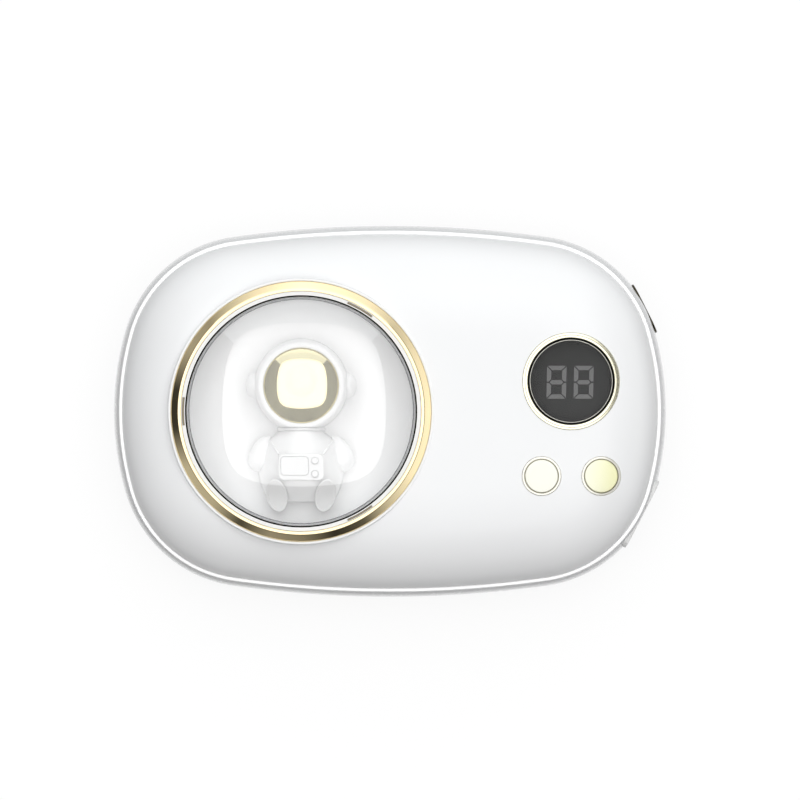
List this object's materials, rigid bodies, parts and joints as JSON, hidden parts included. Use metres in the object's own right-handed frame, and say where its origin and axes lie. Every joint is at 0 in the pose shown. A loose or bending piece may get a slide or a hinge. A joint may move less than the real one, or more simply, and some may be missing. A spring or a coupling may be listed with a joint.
{
  "type": "rechargeable hand warmer",
  "caption": "Pebble-shaped rechargeable hand warmer: domed porthole night light with a seated figure, round smoked display, gold-rimmed push buttons and USB sockets.",
  "frame": {"origin": "centre of the body's length and width, on the plane of its flat back", "axes": "+Z out of the front, +X along the length from the porthole to the display, +Y up the front as the digits read"},
  "size_m": [0.1104, 0.0742, 0.0351],
  "materials": {
    "white_shell": "smooth polished white moulding",
    "white_frame": "smooth white moulding",
    "gold_trim": "polished pale gold",
    "clear_dome": "clear polished",
    "clip_gold": "dull spring metal",
    "gasket_grey": "soft matt",
    "dish_grey": "satin, lets lamp light through",
    "figure_white": "satin white",
    "visor_gold": "polished pale gold",
    "display_black": "polished black",
    "smoked_window": "smoked, polished",
    "digit_grey": "unlit segment",
    "cap_cream": "pearly cream",
    "switch_black": "moulded",
    "socket_steel": "folded sheet",
    "tongue_black": "moulded",
    "socket_trim_white": "smooth moulding",
    "board_green": "solder mask",
    "screw_steel": "plated",
    "component_black": "moulded",
    "component_can": "drawn can",
    "ribbon_amber": "thin film",
    "cell_pouch": "laminated pouch",
    "foam_grey": "open foam",
    "lead_red": "soft jacket",
    "lead_black": "soft jacket",
    "spreader_metal": "rolled sheet",
    "film_amber": "thin film",
    "board_white": "white mask",
    "led_yellow": "phosphor"
  },
  "bodies": {
    "case": {"front_shell": "white_shell", "back_shell": "white_shell", "middle_frame": "white_frame", "porthole_bezel": "gold_trim", "dome_lens": "clear_dome", "dome_retainer": "white_frame", "dome_clips": "clip_gold", "dome_gasket": "gasket_grey", "backdrop_dish": "dish_grey", "figure_helmet": "figure_white", "figure_visor": "visor_gold", "figure_body": "figure_white", "figure_chest_pack": "figure_white", "display_bezel": "gold_trim", "display_surround": "display_black", "display_window": "smoked_window", "display_module": "display_black", "digit_segments": "digit_grey", "heat_button_bezel": "gold_trim", "light_button_bezel": "gold_trim", "heat_switch_body": "switch_black", "light_switch_body": "switch_black", "control_board": "board_green", "control_board_screws": "screw_steel", "usb_c_trim": "gold_trim", "usb_c_shell": "socket_steel", "usb_c_tongue": "tongue_black", "usb_a_trim": "socket_trim_white", "usb_a_shell": "socket_steel", "usb_a_tongue": "tongue_black", "main_board": "board_green", "main_board_screws": "screw_steel", "charger_chip": "component_black", "boost_inductor": "component_black", "filter_capacitors": "component_can", "board_ribbon": "ribbon_amber", "battery_cell": "cell_pouch", "battery_foam": "foam_grey", "battery_top_foam": "foam_grey", "battery_leads": "lead_red", "heat_spreader": "spreader_metal", "heater_film": "film_amber", "heater_leads": "lead_black", "thermistor": "component_black", "lamp_board": "board_white", "lamp_leds": "led_yellow", "frame_screws": "screw_steel"},
    "heat_button": {"heat_button_cap": "cap_cream", "heat_switch_plunger": "switch_black"},
    "light_button": {"light_button_cap": "cap_cream", "light_switch_plunger": "switch_black"}
  },
  "joints": [
    {"name": "heat_button_press", "type": "slide", "parent": "case", "child": "heat_button", "axis": [0, 0, -1], "range_m": [0, 0.0004], "stiffness_N_per_m": 60, "springref_m": -0.001},
    {"name": "light_button_press", "type": "slide", "parent": "case", "child": "light_button", "axis": [0, 0, -1], "range_m": [0, 0.0004], "stiffness_N_per_m": 60, "springref_m": -0.001}
  ]
}
